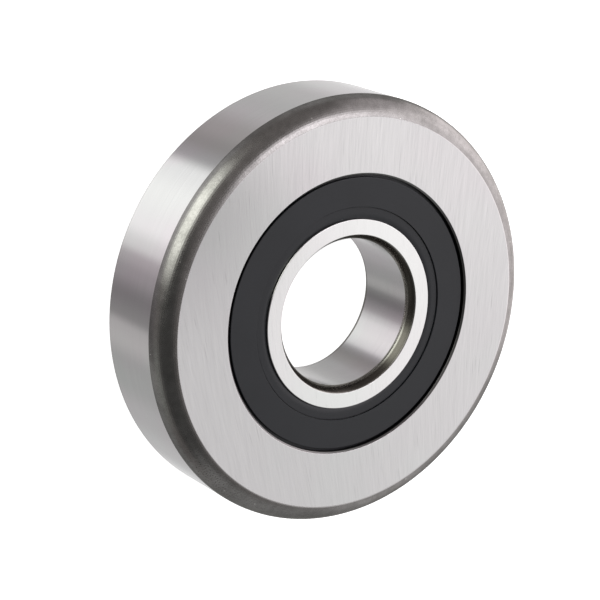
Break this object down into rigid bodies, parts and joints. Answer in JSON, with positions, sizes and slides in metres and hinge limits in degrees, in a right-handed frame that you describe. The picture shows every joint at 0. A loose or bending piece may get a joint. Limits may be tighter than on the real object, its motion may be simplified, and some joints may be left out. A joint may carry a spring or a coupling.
{
  "type": "forklift mast roller",
  "caption": "Sealed ball bearing with a thick cylindrical outer ring that serves as a mast guide roller, with one large rounded corner.",
  "frame": {"origin": "on the bearing's axis, half way through the outer ring", "axes": "+Z along the bearing's axis, out of the face with the large corner"},
  "size_m": [0.116, 0.116, 0.026],
  "materials": {
    "ring_steel": "ground bearing steel, with dark as-forged corners",
    "ball_steel": "polished",
    "cage_steel": "pressed sheet, dull",
    "insert_steel": "pressed sheet, dull",
    "seal_rubber": "smooth matt black"
  },
  "bodies": {
    "roller": {"outer_ring": "ring_steel", "front_seal": "seal_rubber", "front_seal_insert": "insert_steel", "back_seal": "seal_rubber", "back_seal_insert": "insert_steel"},
    "inner_ring": {"inner_ring": "ring_steel"},
    "cage": {"cage_front_half": "cage_steel", "cage_back_half": "cage_steel", "cage_rivets": "cage_steel"},
    "ball_1": {"ball_1": "ball_steel"},
    "ball_2": {"ball_2": "ball_steel"},
    "ball_3": {"ball_3": "ball_steel"},
    "ball_4": {"ball_4": "ball_steel"},
    "ball_5": {"ball_5": "ball_steel"},
    "ball_6": {"ball_6": "ball_steel"},
    "ball_7": {"ball_7": "ball_steel"},
    "ball_8": {"ball_8": "ball_steel"}
  },
  "joints": [
    {"name": "inner_ring_spin", "type": "hinge", "parent": "roller", "child": "inner_ring", "pos_m": [0, 0, 0.0009], "axis": [0, 0, 1], "continuous": true},
    {"name": "cage_spin", "type": "hinge", "parent": "roller", "child": "cage", "pos_m": [0, 0, 0.0009], "axis": [0, 0, 1], "continuous": true},
    {"name": "ball_1_roll", "type": "hinge", "parent": "cage", "child": "ball_1", "pos_m": [0.0325, 0, 0.0009], "axis": [0, 0, 1], "continuous": true},
    {"name": "ball_2_roll", "type": "hinge", "parent": "cage", "child": "ball_2", "pos_m": [0.02298, 0.02298, 0.0009], "axis": [0, 0, 1], "continuous": true},
    {"name": "ball_3_roll", "type": "hinge", "parent": "cage", "child": "ball_3", "pos_m": [0, 0.0325, 0.0009], "axis": [0, 0, 1], "continuous": true},
    {"name": "ball_4_roll", "type": "hinge", "parent": "cage", "child": "ball_4", "pos_m": [-0.02298, 0.02298, 0.0009], "axis": [0, 0, 1], "continuous": true},
    {"name": "ball_5_roll", "type": "hinge", "parent": "cage", "child": "ball_5", "pos_m": [-0.0325, 0, 0.0009], "axis": [0, 0, 1], "continuous": true},
    {"name": "ball_6_roll", "type": "hinge", "parent": "cage", "child": "ball_6", "pos_m": [-0.02298, -0.02298, 0.0009], "axis": [0, 0, 1], "continuous": true},
    {"name": "ball_7_roll", "type": "hinge", "parent": "cage", "child": "ball_7", "pos_m": [0, -0.0325, 0.0009], "axis": [0, 0, 1], "continuous": true},
    {"name": "ball_8_roll", "type": "hinge", "parent": "cage", "child": "ball_8", "pos_m": [0.02298, -0.02298, 0.0009], "axis": [0, 0, 1], "continuous": true}
  ],
  "couplings": [
    {"joint": "cage_spin", "follows": "inner_ring_spin", "ratio": 0.38399},
    {"joint": "ball_1_roll", "follows": "inner_ring_spin", "ratio": -2.039},
    {"joint": "ball_2_roll", "follows": "inner_ring_spin", "ratio": -2.039},
    {"joint": "ball_3_roll", "follows": "inner_ring_spin", "ratio": -2.039},
    {"joint": "ball_4_roll", "follows": "inner_ring_spin", "ratio": -2.039},
    {"joint": "ball_5_roll", "follows": "inner_ring_spin", "ratio": -2.039},
    {"joint": "ball_6_roll", "follows": "inner_ring_spin", "ratio": -2.039},
    {"joint": "ball_7_roll", "follows": "inner_ring_spin", "ratio": -2.039},
    {"joint": "ball_8_roll", "follows": "inner_ring_spin", "ratio": -2.039}
  ]
}
